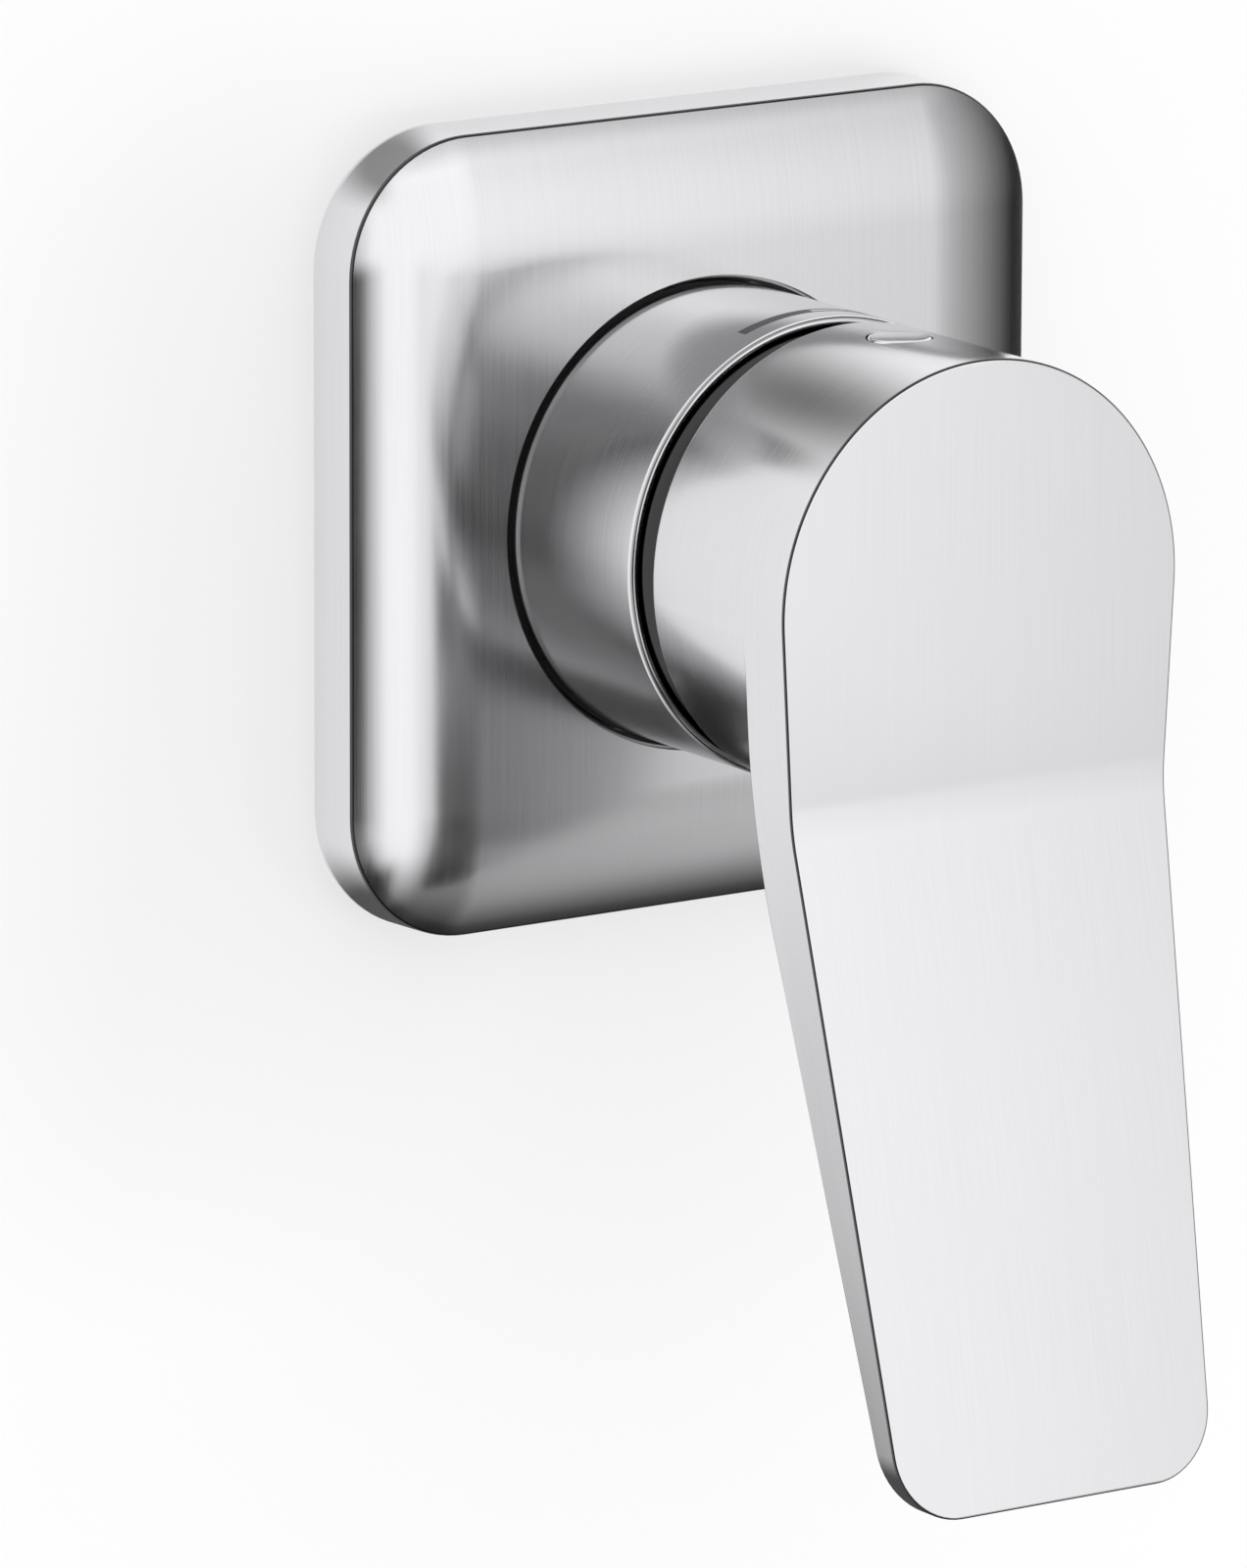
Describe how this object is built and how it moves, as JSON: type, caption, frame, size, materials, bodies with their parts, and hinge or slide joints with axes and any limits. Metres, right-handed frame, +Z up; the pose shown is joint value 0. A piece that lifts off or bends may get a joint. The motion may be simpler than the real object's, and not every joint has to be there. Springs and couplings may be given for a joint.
{
  "type": "concealed single-lever mixer",
  "caption": "Wall-mounted mixer with a square pillow plate, round sleeve and a tilting, turning lever, on a concealed brass body with threaded inlets and outlet.",
  "frame": {"origin": "centre of the wall plate's back, on the finished wall, on the cartridge's axis", "axes": "-Y out of the wall towards the user, +Y into the wall, +Z up, +X to the right seen from the front"},
  "size_m": [0.09, 0.1355, 0.1297],
  "materials": {
    "satin_trim": "fine brushed satin chrome",
    "body_brass": "machined, slightly dull",
    "zinc_steel": "zinc plated",
    "stainless": "bright stainless",
    "white_plastic": "moulded, matte",
    "grey_plastic": "moulded, matte",
    "slip_plastic": "smooth, waxy",
    "limit_plastic": "moulded, matte",
    "disc_ceramic": "lapped ceramic",
    "seal_rubber": "smooth rubber",
    "gasket_foam": "closed-cell foam",
    "hot_enamel": "dark grey enamel, filled mark",
    "cold_enamel": "dark grey enamel, outlined mark"
  },
  "bodies": {
    "mixer": {"mixer_body": "body_brass", "mounting_bracket": "zinc_steel", "bracket_screws": "zinc_steel", "hot_strainer": "stainless", "cold_strainer": "stainless", "hot_check_valve": "white_plastic", "cold_check_valve": "white_plastic", "hot_valve_seal": "seal_rubber", "cold_valve_seal": "seal_rubber", "blanking_plug": "body_brass", "blanking_seal": "seal_rubber", "base_seals": "seal_rubber", "cartridge_base": "grey_plastic", "fixed_disc": "disc_ceramic", "cartridge_housing": "white_plastic", "retaining_nut": "body_brass", "cover_dome": "satin_trim", "sleeve_seals": "seal_rubber", "sleeve": "satin_trim", "hot_mark": "hot_enamel", "cold_mark": "cold_enamel", "wall_plate": "satin_trim", "plate_carrier": "grey_plastic", "plate_seal": "seal_rubber", "plate_gasket": "gasket_foam", "friction_ring": "slip_plastic"},
    "turning_rotor": {"rotor": "grey_plastic", "pivot_pin": "stainless", "limit_ring": "limit_plastic"},
    "sliding_disc": {"moving_disc": "disc_ceramic", "disc_carrier": "white_plastic"},
    "lever_arm": {"spindle": "body_brass", "lever_insert": "body_brass", "set_screw": "stainless", "index_plug": "satin_trim", "lever": "satin_trim"}
  },
  "joints": [
    {"name": "temperature_turn", "type": "hinge", "parent": "mixer", "child": "turning_rotor", "pos_m": [0, -0.02, 0], "axis": [0, -1, 0], "range_deg": [-48, 48]},
    {"name": "flow_tilt", "type": "hinge", "parent": "turning_rotor", "child": "lever_arm", "pos_m": [0, -0.02, 0], "axis": [-1, 0, 0], "range_deg": [0, 22]},
    {"name": "disc_slide", "type": "slide", "parent": "turning_rotor", "child": "sliding_disc", "axis": [0, 0, -1], "range_m": [0, 0.0033]}
  ],
  "couplings": [
    {"joint": "disc_slide", "follows": "flow_tilt", "m_per_rad": 0.0085}
  ]
}
